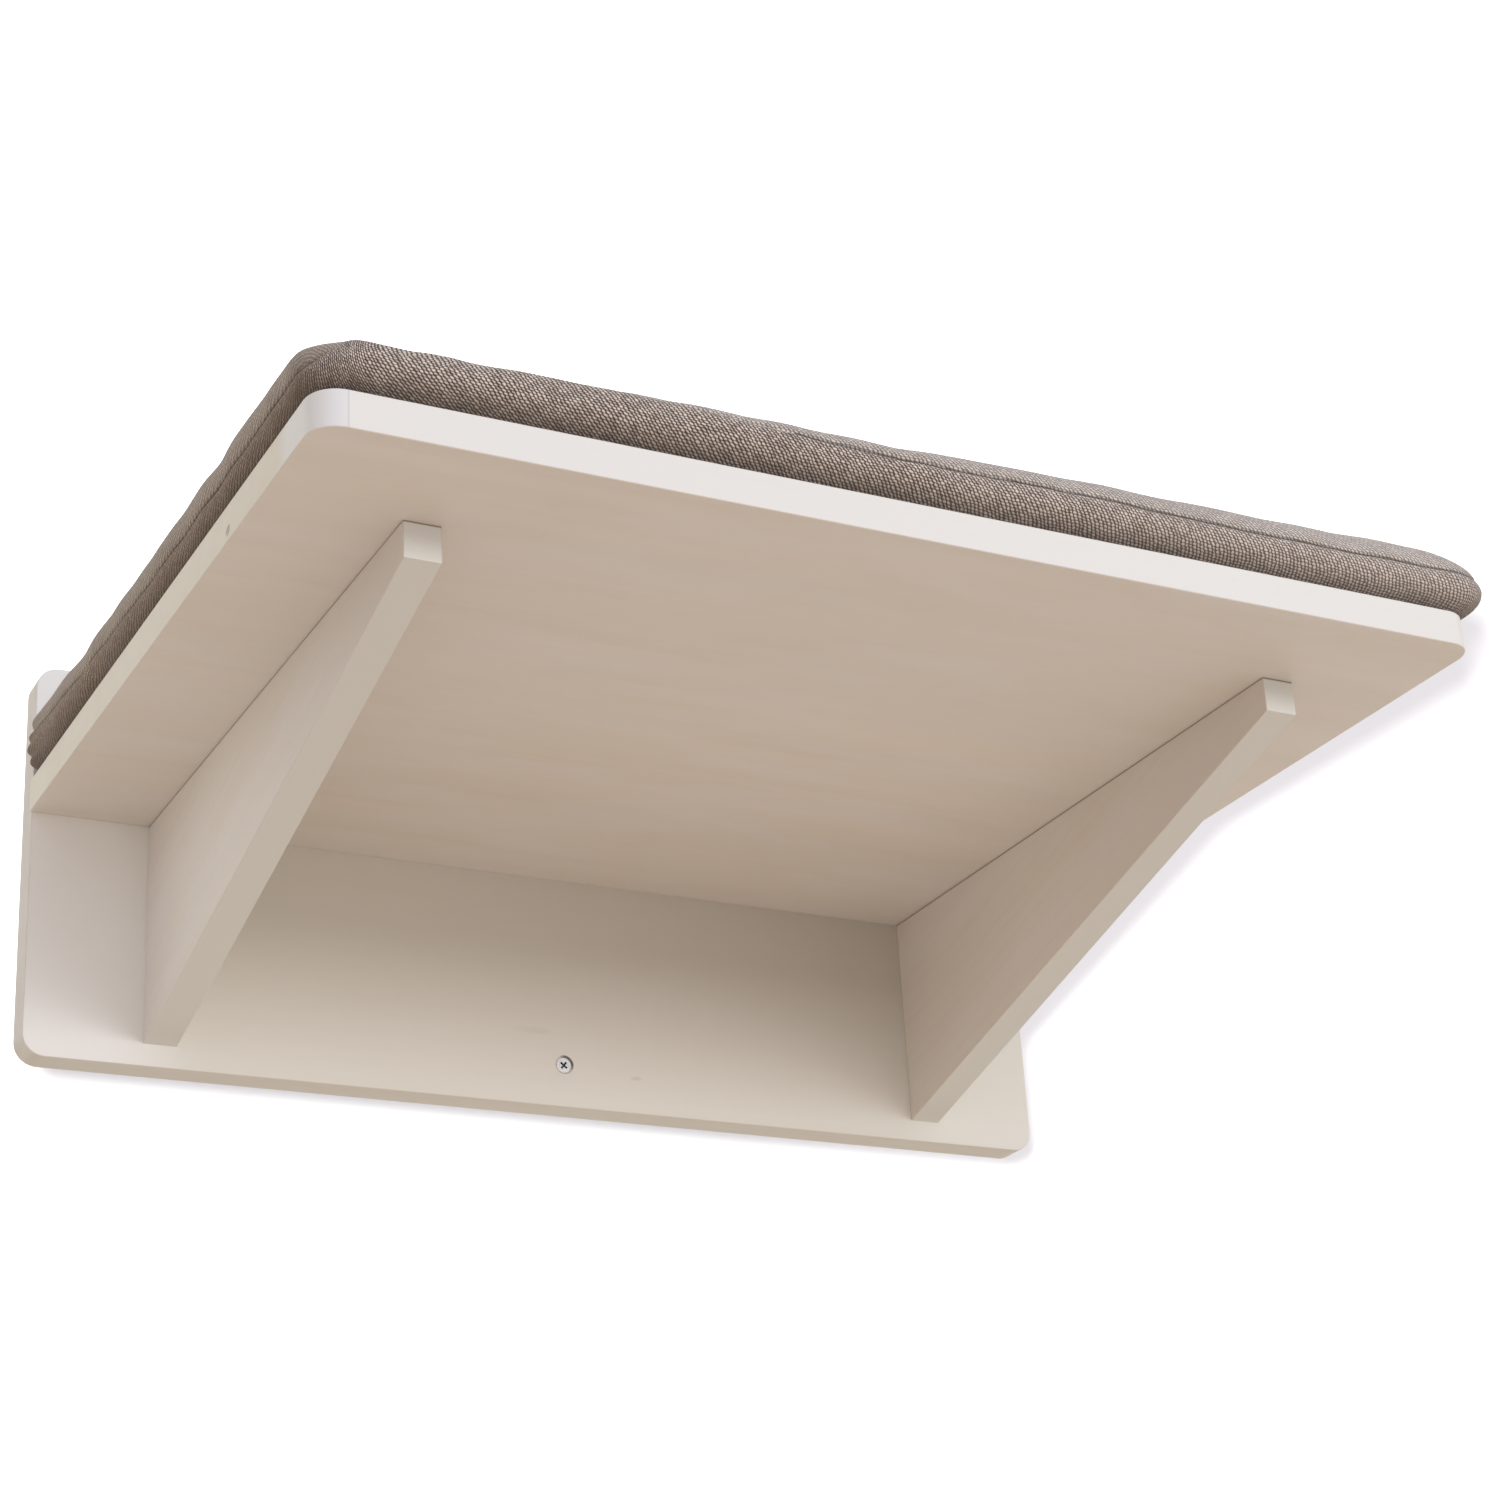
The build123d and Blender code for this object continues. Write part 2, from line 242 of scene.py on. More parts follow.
def bracket_tones(net, tone, place, normal, facing):
    """Painted light, lighter and greener, on a bracket's faces but its sides, painted shade on its
    sides towards the front, and a painted shadow in the joint's gap under the board.
    """
    x, y, z = net.apart(place)
    # Painted light, lighter and greener, on all faces but the sides, the slope among them
    slope = net.span(net.math("ABSOLUTE", normal[0]), 0.5, 0.3)
    tone = net.mix(net.times(slope, 0.75), tone, (0.80, 0.83, 0.79))
    # Painted shade on the sides, darker towards the front under the board
    ahead = net.times(net.math("SUBTRACT", 1.0, slope), net.span(y, -0.13, -0.30, 0.0, 0.3))
    tone = net.mix(ahead, tone, (0.50, 0.42, 0.36))
    # Painted shadow in the gap of the joint under the board
    joint = net.span(z, BOARD_UNDERSIDE - 0.0009, BOARD_UNDERSIDE - 0.0003, 0.0, 0.8)
    return net.mix(joint, tone, (0.16, 0.11, 0.08))


def knotted(net, tone, place, knots):
    """The tone with the knots in it, and how far into the knot hole a place lies."""
    hollow = 0.0
    for center, length, height, strength, hole in knots:
        spot = net.vector("SUBTRACT", place, tuple(along * MM for along in center))
        spot = net.scaled(spot, (1 / (length * MM), 1 / (length * MM), 1 / (height * MM)))
        ragged = net.noise(net.scaled(place, (90, 300, 500)))
        reach = net.math("MULTIPLY_ADD", ragged, -0.9, net.math("ADD", net.length(spot), 0.45))
        dark = net.span(reach, 0.9, 0.15, 0.0, strength, smooth=True)
        dark = net.times(dark, net.span(ragged, 0.35, 0.65, 0.25, 1.0))
        tone = net.mix(dark, tone, KNOT_HOLE if hole else KNOT)
        if hole:
            hollow = dark
    return tone, hollow


def whitewashed(name, seed, own_tones, knots=(), front_painted_share=0.4, front_painted_tone=WASH, end_tone=WASH):
    """Whitewashed wood with its grain along X or, on a bracket, along the slope, and whiter
    painted light on the faces that face the front.
    """
    made, net = material(name)
    place = net.place()
    normal = net.apart(net.node("ShaderNodeTexCoord").outputs["Normal"])
    bracket = own_tones is bracket_tones
    moved = net.vector("ADD", place, (seed * 0.37, seed * 0.61, seed * 0.83))
    if bracket:
        x, y, z = net.apart(moved)
        down = net.math("MULTIPLY_ADD", z, -LEAN, y)
        moved = net.together(down, x, net.math("MULTIPLY_ADD", y, LEAN, z))
    wander = net.noise(net.scaled(moved, (2.2, 9, 9)), 2.0)
    wander = net.scaled(net.together(0.0, wander, wander), (0, 0.03, 0.03))
    rings = net.node("ShaderNodeTexWave", wave_type="RINGS", rings_direction="X")
    net.put(rings.inputs["Vector"], net.scaled(net.vector("ADD", moved, wander), (0.6, 1.0, 2.1)))
    rings.inputs["Scale"].default_value = 21
    rings.inputs["Distortion"].default_value = 1.6
    rings.inputs["Detail"].default_value = 2
    rings.inputs["Detail Scale"].default_value = 3.5
    streaks = net.noise(net.scaled(moved, (2.5, 95, 95)), 4.0, 0.6)
    fibres = net.noise(net.scaled(moved, (14, 900, 900)), 3.0, 0.65)
    patches = net.noise(net.scaled(moved, (3.5, 14, 14)), 2.0)
    tone = net.mix(net.span(patches, 0.3, 0.7), (0.80, 0.752, 0.688), (0.83, 0.762, 0.688))
    tone = net.mix(net.span(streaks, 0.3, 0.72), tone, (0.795, 0.75, 0.69))
    latewood = net.span(rings.outputs["Fac"], 0.72, 1.0, smooth=True)
    latewood = net.times(latewood, net.span(streaks, 0.3, 0.8, 0.03, 0.14))
    tone = net.mix(latewood, tone, (0.70, 0.61, 0.49))
    tone = net.mix(net.span(fibres, 0.5, 0.85, 0.0, 0.2), tone, (0.70, 0.64, 0.57))
    thick = net.noise(net.scaled(moved, (9, 42, 42)))
    tone = net.mix(net.span(thick, 0.45, 0.75, 0.0, 0.3), tone, WASH)
    end = net.span(net.math("ABSOLUTE", normal[1] if bracket else normal[0]), 0.6, 0.9)
    pores = net.noise(net.scaled(place, (420, 420, 60)))
    tone = net.mix(net.times(end, net.span(pores, 0.4, 0.7, 0.1, 0.55)), tone, (0.74, 0.67, 0.50))
    tone = net.mix(net.times(end, 0.7), tone, end_tone)
    # Painted light: faces that face the front get a whiter tone
    facing = net.span(net.math("MULTIPLY", normal[1], -1.0), 0.75, 0.97)
    tone = net.mix(net.times(facing, front_painted_share), tone, front_painted_tone)
    tone = own_tones(net, tone, place, normal, facing)
    tone, hollow = knotted(net, tone, place, knots)
    relief = net.math("MULTIPLY_ADD", fibres, 0.5, net.times(streaks, 0.5))
    relief = net.math("MULTIPLY_ADD", hollow, -8.0, relief)
    roughness = net.span(streaks, 0.2, 0.8, 0.5, 0.62)
    surface(net, tone, roughness, net.bump(relief, 0.00006, 0.6), specular=0.35)
    return made


woods = {
    "back_plate": whitewashed(
        "wood_back_plate", 1, plate_tones, PLATE_KNOTS,
        front_painted_share=0.7, front_painted_tone=(0.86, 0.87, 0.80), end_tone=(0.56, 0.53, 0.48),
    ),
    "platform_board": whitewashed(
        "wood_platform_board", 2, board_tones, BOARD_KNOTS,
        front_painted_share=0.85, front_painted_tone=(0.86, 0.87, 0.84), end_tone=(0.68, 0.64, 0.53),
    ),
    "bracket_left": whitewashed("wood_bracket_left", 3, bracket_tones),
    "bracket_right": whitewashed("wood_bracket_right", 4, bracket_tones),
}

# ---------------------------------------------------------------- small parts' materials

# Level in Y of the wall screws' faces, from which their recesses go in
SCREW_FACE = -0.0142


def zinc(name, face=None):
    """Zinc-plated steel, with painted shade in the wall screws' recesses where their face is
    given.
    """
    made, net = material(name)
    place = net.place()
    cloud = net.noise(net.scaled(place, 600))
    fine = net.noise(net.scaled(place, 3000), 2.0)
    tone = net.mix(cloud, (0.40, 0.41, 0.42), (0.52, 0.525, 0.53))
    if face is not None:
        x, y, z = net.apart(place)
        depth = net.math("SUBTRACT", y, face)
        middle = net.math("ABSOLUTE", x)
        aside = net.math("MINIMUM", middle, net.off(middle, SIDE_SCREWS))
        above = net.math("MINIMUM", net.off(z, LOW_SCREW), net.off(z, HIGH_SCREWS))
        # Painted shade in the recesses of the wall screws' heads
        recess = net.span(net.length(net.together(aside, above, 0.0)), 0.0028, 0.0024)
        recess = net.times(recess, net.span(depth, 0.0026, 0.0022))
        recess = net.times(recess, net.span(depth, 0.0001, 0.0006, 0.0, 0.92))
        tone = net.mix(recess, tone, (0.03, 0.035, 0.035))
    roughness = net.span(cloud, 0.3, 0.7, 0.36, 0.5)
    surface(net, tone, roughness, net.bump(fine, 0.00002, 0.4), metallic=1.0)
    return made


def dowel_wood():
    made, net = material("dowel_wood")
    fibres = net.noise(net.scaled(net.place(), (800, 60, 800)))
    tone = net.mix(fibres, (0.60, 0.46, 0.30), (0.74, 0.61, 0.44))
    surface(net, tone, 0.7, net.bump(fibres, 0.0001, 0.5))
    return made


def tape(name, dark, light, height):
    """Hook or loop tape, with a fine fuzz of the given height."""
    made, net = material(name)
    fuzz = net.noise(net.scaled(net.place(), 1400))
    surface(net, net.mix(fuzz, dark, light), 0.8, net.bump(fuzz, height, 0.8), sheen=0.3)
    return made


steel = zinc("zinc_steel")
wall_screw = zinc("zinc_steel_wall_screws", SCREW_FACE)
dowels = dowel_wood()
small = {
    "plate_to_board_dowels": dowels,
    "bracket_dowels_left": dowels,
    "bracket_dowels_right": dowels,
    "hook_strips": tape("hook_tape", (0.62, 0.62, 0.61), (0.85, 0.85, 0.84), 0.0004),
    "loop_strips": tape("loop_tape", (0.55, 0.54, 0.52), (0.78, 0.77, 0.74), 0.0003),
}


# ---------------------------------------------------------------- cushion

# All in mm. The seat is the level of the cushion's underside, just over the board's top.
SEAT = 35.3
MIDDLE = (2.4, -198.25)
HALF = (256.6, 181.75)
CORNER_FRONT_LEFT = 20.0
CORNER_OTHER = 7.0
# How far the sides are drawn in between the corners
DRAW = 1.2
# Insets of the flat bottom, of the top's shoulder and of the top's rim. The bottom's is smaller
# along the rear, and smallest at the rear left corner.
BOTTOM_INSET = 18.0
REAR_BOTTOM_INSET = 10.0
CORNER_BOTTOM_INSET = 4.0
CORNER_REACH = 90
SHOULDER = 12.0
TOP_INSET = 28.0
# Share of the edge's height that lies under its widest level
LOW_SHARE = 0.46
RIM_RISE = 0.4
CROWN = 6.5
CELLS = (100, 72)
# Rows up the side: even ones from the bottom, those at set distances from the seam, and even
# ones beyond
EVEN_ROWS = 8
NEAR_SEAM = (0.6, 1.3, 2.3, 3.8, 5.6)
SEAM_ROW = EVEN_ROWS + len(NEAR_SEAM)
ROWS = 2 * SEAM_ROW + 1
# Places round the outline, from the rear left corner forward: distance, edge height, seam angle
# and depth of the seam's ditch
AROUND = (
    (0, 31.0, 12, 1.2), (35, 30.6, 8, 1.4), (100, 29.2, 1, 1.6), (185, 28.6, -6, 1.7),
    (285, 28.0, -10, 1.7), (343, 25.6, -5, 1.8), (358, 24.2, 10, 2.4), (367, 23.8, 30, 2.6),
    (374, 23.6, 50, 0.1), (392, 23.6, 66, 0.0), (480, 25.6, 54, 0.0), (534, 26.4, 34, 0.1),
    (599, 27.0, 21, 0.3), (679, 28.8, 19, 0.2), (724, 29.0, 15, 0.2), (773, 29.2, 13, 0.2),
    (830, 29.8, 13, 0.2), (856, 29.6, 14, 0.2), (868, 27.4, 17, 0.2), (877, 23.6, 22, 0.2),
    (887, 26.0, 20, 0.2), (905, 28.6, 12, 0.4), (1050, 30.0, 0, 0.6), (1235, 31.0, 2, 0.8),
    (1480, 31.0, 4, 0.8), (1744, 31.0, 12, 1.2),
)
# Loop strips under the cushion: how far aside, half a width and half a length, and their top
STRIP_ASIDE, STRIP_HALF_WIDTH, STRIP_HALF_LENGTH = 150, 12.5, 111.5
STRIP_TOP = 37.4
# The farthest back that the cover may reach, just clear of the plate
REAR_LIMIT = -15.6
SIM_FRAMES = 16
WRINKLES = 0.18
LARGEST_WRINKLE = 3.0
# Height and reach, across the seam, of what the sewing draws into the cover
STITCH, PUCKER, DIMPLE, SWAY = (1.4, 0.8), (0.2, 6.0), (0.25, 12.0), (0.14, 18)
DITCH_REACH = 4.2
# Where the sway is largest, above the seam
SWAY_RISE = 4
# Folds at the rear left corner: height, reach along the outline and length
FOLD, FOLD_REACH, FOLD_LENGTH = 1.3, 15, 6.5


def outline_nodes():
    """Grid places round the outline, in -1 to 1, and how far round each lies."""
    across, along = CELLS
    left = [(-1, 1 - 2 * j / along) for j in range(along)]
    front = [(-1 + 2 * i / across, -1) for i in range(across)]
    right = [(1, -1 + 2 * j / along) for j in range(along)]
    rear = [(1 - 2 * i / across, 1) for i in range(across)]
    nodes = np.array(left + front + right + rear, float)
    steps = np.abs(np.roll(nodes, -1, 0) - nodes) @ np.array(HALF)
    return nodes, np.concatenate([[0], np.cumsum(steps)[:-1]])


def on_outline(grid, inset):
    """Real places in x and y of grid places, on an outline inset from the cushion's."""
    half = np.array(HALF) - np.reshape(inset, (-1, 1))
    place = grid * half
    radius = np.where((grid < 0).all(1, keepdims=True), CORNER_FRONT_LEFT, CORNER_OTHER)
    into = np.clip((np.abs(place) - (half - radius)) / radius, 0, 1)
    bent = into * np.sqrt(1 - into[:, ::-1] ** 2 / 2)
    corner = (into > 0).all(1)[:, None]
    place = np.where(corner, np.sign(place) * (half - radius + radius * bent), place)
    share = np.abs(place) / half
    return place * (1 - DRAW / half * (1 - share[:, ::-1] ** 2) * share ** 2) + np.array(MIDDLE)


def profile(height, angle, bottom):
    """Insets, heights and path lengths up the cushion's side, and where along it the seam lies."""
    turn = np.radians(np.linspace(-90, 90, 91))
    low, high = LOW_SHARE * height, (1 - LOW_SHARE) * height
    inset = np.where(turn < 0, bottom, SHOULDER) * (1 - np.cos(turn) ** 0.85)
    level = low + np.where(turn < 0, low, high) * np.sin(turn)
    inset, level = np.append(inset, TOP_INSET), np.append(level, height + RIM_RISE)
    path = np.concatenate([[0], np.cumsum(np.hypot(np.diff(inset), np.diff(level)))])
    return inset, level, path, np.interp(math.radians(angle), turn, path[:len(turn)])


def side_rows():
    """For each row and place round the outline: inset, height and signed way from the seam.

    After them, for each place: the seam's way from the bottom and from the top, and its ditch.
    """
    given = np.array(AROUND).T
    heights, angles, ditches = (np.interp(around, given[0], values) for values in given[1:])
    insets, levels, ways = (np.zeros((ROWS, count)) for _ in range(3))
    ends = np.zeros((2, count))
    for k in range(count):
        inset, level, path, seam = profile(heights[k], angles[k], bottoms[k])
        wanted = list(np.linspace(0, seam - NEAR_SEAM[-1], EVEN_ROWS + 1)[:-1])
        wanted += [seam - way for way in reversed(NEAR_SEAM)] + [seam]
        wanted += [seam + way for way in NEAR_SEAM]
        wanted += list(np.linspace(seam + NEAR_SEAM[-1], path[-1], EVEN_ROWS + 1)[1:])
        insets[:, k], levels[:, k] = np.interp(wanted, path, inset), np.interp(wanted, path, level)
        ways[:, k] = np.array(wanted) - seam
        ends[:, k] = seam, path[-1] - seam
    insets = (np.roll(insets, 1, 1) + insets + np.roll(insets, -1, 1)) / 3
    return insets, levels, ways, ends, ditches


def grid_index(ring, inner_start, i, j):
    """Vertex of a grid place, where the grid's rim is the given row of the sides."""
    across, along = CELLS
    if i == 0:
        return ring * count + (along - j) % count
    if j == 0:
        return ring * count + along + i
    if i == across:
        return ring * count + along + across + j
    if j == along:
        return ring * count + 2 * along + 2 * across - i
    return inner_start + (j - 1) * (across - 1) + i - 1


def top_levels(rim):
    """Heights of the inner top grid: carried in from its rim, and crowned."""
    across, along = CELLS
    u, v = (inner[:, 0] + 1) / 2, (inner[:, 1] + 1) / 2
    at_u, at_v = np.linspace(0, 1, across + 1), np.linspace(0, 1, along + 1)
    left, front = rim[:along + 1][::-1], rim[along:along + across + 1]
    right = rim[along + across:2 * along + across + 1]
    rear = np.append(rim[2 * along + across:], rim[0])[::-1]
    level = (1 - v) * np.interp(u, at_u, front) + v * np.interp(u, at_u, rear)
    level += (1 - u) * np.interp(v, at_v, left) + u * np.interp(v, at_v, right)
    level -= (1 - v) * ((1 - u) * left[0] + u * right[0])
    level -= v * ((1 - u) * left[-1] + u * right[-1])
    return level + CROWN * ((1 - inner[:, 0] ** 2) * (1 - inner[:, 1] ** 2)) ** 0.6


def mesh_of(name, points, faces):
    mesh = bpy.data.meshes.new(name)
    mesh.from_pydata((points * MM).tolist(), [], faces)
    mesh.update()
    return mesh


nodes, around = outline_nodes()
count = len(nodes)
round_again = 4 * (HALF[0] + HALF[1])
from_rear_left = np.minimum(around, round_again - around)
bottoms = np.interp(from_rear_left, (0, CORNER_REACH), (CORNER_BOTTOM_INSET, BOTTOM_INSET))
bottoms = np.where(nodes[:, 1] > 0.99, np.minimum(bottoms, REAR_BOTTOM_INSET), bottoms)
inner = np.array([
    (-1 + 2 * i / CELLS[0], -1 + 2 * j / CELLS[1])
    for j in range(1, CELLS[1]) for i in range(1, CELLS[0])
])
insets, levels, ways, ends, ditches = side_rows()
side_points = [np.column_stack([on_outline(nodes, insets[r]), levels[r]]) for r in range(ROWS)]
bottom_start, top_start = ROWS * count, ROWS * count + len(inner)
bottom_xy, top_xy = on_outline(inner, BOTTOM_INSET), on_outline(inner, TOP_INSET)
points = np.concatenate(side_points + [
    np.column_stack([bottom_xy, np.zeros(len(inner))]),
    np.column_stack([top_xy, top_levels(levels[-1])]),
])
points[:, 2] += SEAT
faces, upper_face = [], []
for r in range(ROWS - 1):
    for k in range(count):
        n = (k + 1) % count
        faces.append((r * count + k, r * count + n, (r + 1) * count + n, (r + 1) * count + k))
        upper_face.append(int(r >= SEAM_ROW))
for ring, start, panel in ((0, bottom_start, 0), (ROWS - 1, top_start, 1)):
    for j in range(CELLS[1]):
        for i in range(CELLS[0]):
            cell = ((i, j), (i + 1, j), (i + 1, j + 1), (i, j + 1))
            quad = [grid_index(ring, start, a, b) for a, b in cell]
            faces.append(tuple(quad) if panel else tuple(reversed(quad)))
            upper_face.append(panel)
quads = np.array(faces)

# Each panel's own flat place for its weave: x and y, and beyond the rim the way over the edge
rim_bottom, rim_top = on_outline(nodes, bottoms), on_outline(nodes, TOP_INSET)
tangent = np.roll(rim_bottom, -1, 0) - np.roll(rim_bottom, 1, 0)
outward = np.column_stack([tangent[:, 1], -tangent[:, 0]])
outward /= np.linalg.norm(tangent, axis=1, keepdims=True)
weave = np.zeros((len(points), 2, 2))
for r in range(ROWS):
    ids = slice(r * count, (r + 1) * count)
    weave[ids, 0] = rim_bottom + outward * (ends[0] + ways[r])[:, None]
    weave[ids, 1] = rim_top + outward * (ends[1] - ways[r])[:, None]
weave[bottom_start:top_start, 0] = bottom_xy
weave[top_start:, 1] = top_xy


def normals_of(points):
    """Normals at the vertices, each face counted by its area."""
    corners = points[quads]
    facing = np.cross(corners[:, 2] - corners[:, 0], corners[:, 3] - corners[:, 1])
    total = np.zeros_like(points)
    for k in range(4):
        np.add.at(total, quads[:, k], facing)
    return total / np.linalg.norm(total, axis=1, keepdims=True)


def smoothed(values, passes):
    """Values at the vertices, evened out along the mesh's edges."""
    first, second = quads.ravel(), np.roll(quads, -1, 1).ravel()
    degree = np.bincount(first, minlength=len(values)) + np.bincount(second, minlength=len(values))
    for _ in range(passes):
        total = np.zeros_like(values)
        np.add.at(total, first, values[second])
        np.add.at(total, second, values[first])
        values = 0.5 * values + 0.5 * total / degree[:, None]
    return values


def settled(points):
    """The cover, a little too large for the foam, after it has settled into small wrinkles."""
    sim = bpy.data.objects.new("cushion_sim", mesh_of("cushion_sim", points, faces))
    bpy.context.collection.objects.link(sim)
    held = sim.vertex_groups.new(name="held")
    held.add(list(range(len(points))), 0.2, "REPLACE")
    held.add(list(range(bottom_start, top_start)), 1.0, "REPLACE")
    drawn = sim.vertex_groups.new(name="drawn")
    drawn.add(list(range(SEAM_ROW * count, (SEAM_ROW + 1) * count)), 1.0, "REPLACE")
    cloth = sim.modifiers.new("Cloth", "CLOTH").settings
    cloth.quality = 6
    cloth.mass = 0.25
    cloth.tension_stiffness = cloth.compression_stiffness = 15
    cloth.shear_stiffness = 5
    cloth.bending_stiffness = 40
    cloth.use_pressure = True
    cloth.uniform_pressure_force = 0.3
    cloth.vertex_group_mass = "held"
    cloth.pin_stiffness = 1.0
    cloth.vertex_group_shrink = "drawn"
    cloth.shrink_min = -0.08
    cloth.shrink_max = 0.0
    cloth.effector_weights.gravity = 0
    scene = bpy.context.scene
    for number in range(1, SIM_FRAMES + 1):
        scene.frame_set(number)
    moved = np.empty(len(points) * 3)
    seen = sim.evaluated_get(bpy.context.evaluated_depsgraph_get())
    seen.to_mesh().vertices.foreach_get("co", moved)
    seen.to_mesh_clear()
    scene.frame_set(1)
    bpy.data.objects.remove(sim)
    shift = moved.reshape(-1, 3) / MM - points
    wrinkles = WRINKLES * (smoothed(shift, 4) - smoothed(shift, 60))
    size = np.linalg.norm(wrinkles, axis=1, keepdims=True)
    return points + wrinkles * np.minimum(1, LARGEST_WRINKLE / np.maximum(size, 1e-9))


def ripples(seed, shortest, longest, number):
    """Smooth closed random curve round the outline, about -1 to 1."""
    draw = np.random.default_rng(seed)
    total = np.zeros(count)
    for _ in range(number):
        turns = round(round_again / draw.uniform(shortest, longest))
        turn = 2 * math.pi * turns * around / round_again + draw.uniform(0, 2 * math.pi)
        total += draw.uniform(0.4, 1) * np.sin(turn)
    return total / math.sqrt(number)


def bell(way, width):
    return np.exp(-((way / width) ** 2))


def sewn(points):
    """Seam ditch, puckers beside it, an uneven edge and folds at the rear left corner."""
    ring = points[:bottom_start].reshape(ROWS, count, 3)
    out = normals_of(points)[:bottom_start].reshape(ROWS, count, 3)
    pucker, dimple, wave = ripples(11, 9, 22, 10), ripples(7, 28, 55, 8), ripples(5, 70, 190, 6)
    rear_left = bell(from_rear_left, FOLD_REACH)
    stitched = np.clip(ditches / 0.25, 0, 1)
    for r in range(ROWS):
        way = ways[r]
        ditch = -STITCH[0] * stitched * bell(way, STITCH[1]) - ditches * bell(way, DITCH_REACH)
        crease = PUCKER[0] * bell(way, PUCKER[1]) * pucker
        crease += DIMPLE[0] * bell(way, DIMPLE[1]) * dimple
        sway = SWAY[0] * wave * bell(way - SWAY_RISE, SWAY[1])
        fold = FOLD * rear_left * np.cos(2 * math.pi * way / FOLD_LENGTH + 0.8)
        ring[r] += out[r] * (ditch + (crease + sway + fold) * min(1, r / 2))[:, None]
    points[:bottom_start] = ring.reshape(-1, 3)
    return points


points = settled(points)
points = sewn(points)
flat = points[bottom_start:top_start]
over_strip = np.abs(np.abs(flat[:, 0]) - STRIP_ASIDE) < STRIP_HALF_WIDTH
over_strip &= np.abs(flat[:, 1] - MIDDLE[1]) < STRIP_HALF_LENGTH
flat[:, 2] = np.where(over_strip, STRIP_TOP, SEAT)
points[:, 2] = np.maximum(points[:, 2], SEAT)
points[:, 1] = np.minimum(points[:, 1], REAR_LIMIT)

# The weave's place carries its panel as z (0 lower, 0.5 upper). The seam's distance is made large
# where the seam shows no ditch, so that the painted shade of the seam's groove shows only along
# its ditch.
UPPER = 0.5
SHALLOW_DITCH_SHIFT, NO_SEAM = 20, 50.0
cover = bpy.data.objects.new("cushion_cover", mesh_of("cushion_cover", points, faces))
bpy.context.collection.objects.link(cover)
panels = np.repeat(np.array(upper_face), 4)
woven_at = np.column_stack([weave[quads.ravel(), panels] * MM, panels * UPPER])
weave_data = cover.data.attributes.new("weave", "FLOAT_VECTOR", "CORNER").data
weave_data.foreach_set("vector", woven_at.ravel())
from_seam = (np.abs(ways) + SHALLOW_DITCH_SHIFT * (ditches < 0.15)).ravel()
from_seam = np.append(from_seam, np.full(2 * len(inner), NO_SEAM)) * MM
cover.data.attributes.new("seam", "FLOAT", "POINT").data.foreach_set("value", from_seam)
cover.data.polygons.foreach_set("use_smooth", [True] * len(faces))
finer = cover.modifiers.new("Subdivision", "SUBSURF")
finer.levels = finer.render_levels = 1


# Cells per metre of the weave's two slanting coordinates, along x and along y
CELLS_A, CELLS_B = (550.0, 74.0), (-35.0, 405.0)
# Half a knuckle's width and height, in cells
KNUCKLE_WIDE, KNUCKLE_TALL = 0.43, 0.27
# Tones of the gaps, the threads and the crests: partly the weave's own pattern, partly painted
# shade in the gaps and a painted highlight on the crests
GAP_SHADE, THREAD, CREST_HIGHLIGHT = (0.055, 0.039, 0.03), (0.445, 0.36, 0.30), (0.85, 0.745, 0.65)
# The seam's dark line, partly the stitching and partly painted shade in its groove, and the
# painted shade near the seat
SEAM_LINE_AND_SHADE, SEAT_SHADE = (0.045, 0.033, 0.026), (0.10, 0.075, 0.06)


def knuckles(net, a, b, panel, offset):
    """Height and brightness of one set of the weave's knuckles, on cells of the coordinates a and
    b; the brightness peaks in a painted highlight.
    """
    across, along = net.math("ADD", a, offset), net.math("ADD", b, offset)
    x = net.math("SUBTRACT", net.math("FRACT", across), 0.5)
    y = net.math("SUBTRACT", net.math("FRACT", along), 0.5)
    layer = net.math("ADD", panel, offset)
    chance = net.random(net.together(net.math("FLOOR", across), net.math("FLOOR", along), layer))
    fat = net.math("MULTIPLY_ADD", chance, 0.16, 0.92)
    leaned = net.math("MULTIPLY_ADD", y, net.math("MULTIPLY_ADD", chance, 0.5, -1.05), x)
    x = net.math("DIVIDE", leaned, net.times(fat, KNUCKLE_WIDE))
    y = net.math("DIVIDE", y, net.times(fat, KNUCKLE_TALL))
    inside = net.math("SUBTRACT", 1.0, net.math("ADD", net.times(x, x), net.times(y, y)))
    inside = net.math("MAXIMUM", inside, 0.0)
    # Brightness that peaks at the knuckle's middle: a painted highlight
    shade = net.math("POWER", inside, 0.8)
    shade = net.times(shade, net.math("MULTIPLY_ADD", chance, 0.45, 0.78))
    return net.math("SQRT", inside), shade


